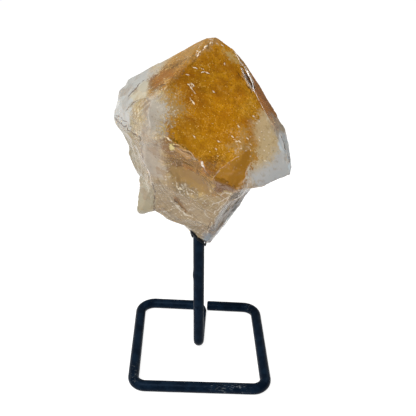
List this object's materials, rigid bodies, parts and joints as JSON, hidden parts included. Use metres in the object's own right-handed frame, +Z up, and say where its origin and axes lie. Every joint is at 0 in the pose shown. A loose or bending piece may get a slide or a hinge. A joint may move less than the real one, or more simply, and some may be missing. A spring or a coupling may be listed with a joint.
{
  "type": "citrine crystal on stand",
  "caption": "Rough amber citrine crystal with flat growth faces and a milky broken root, drilled and set on the post of a display stand bent from black-painted steel rod.",
  "frame": {"origin": "middle of the object's footprint, on the surface the stand rests on", "axes": "+Z up along the post, the crystal's large amber face looks to -Y, +X to its right"},
  "size_m": [0.0702, 0.0674, 0.1495],
  "materials": {
    "citrine": "glassy growth faces, frosted fracture faces",
    "black_paint": "satin",
    "glue": "satin"
  },
  "bodies": {
    "root": {"crystal": "citrine", "stand": "black_paint", "glue_fillet": "glue"}
  },
  "joints": []
}
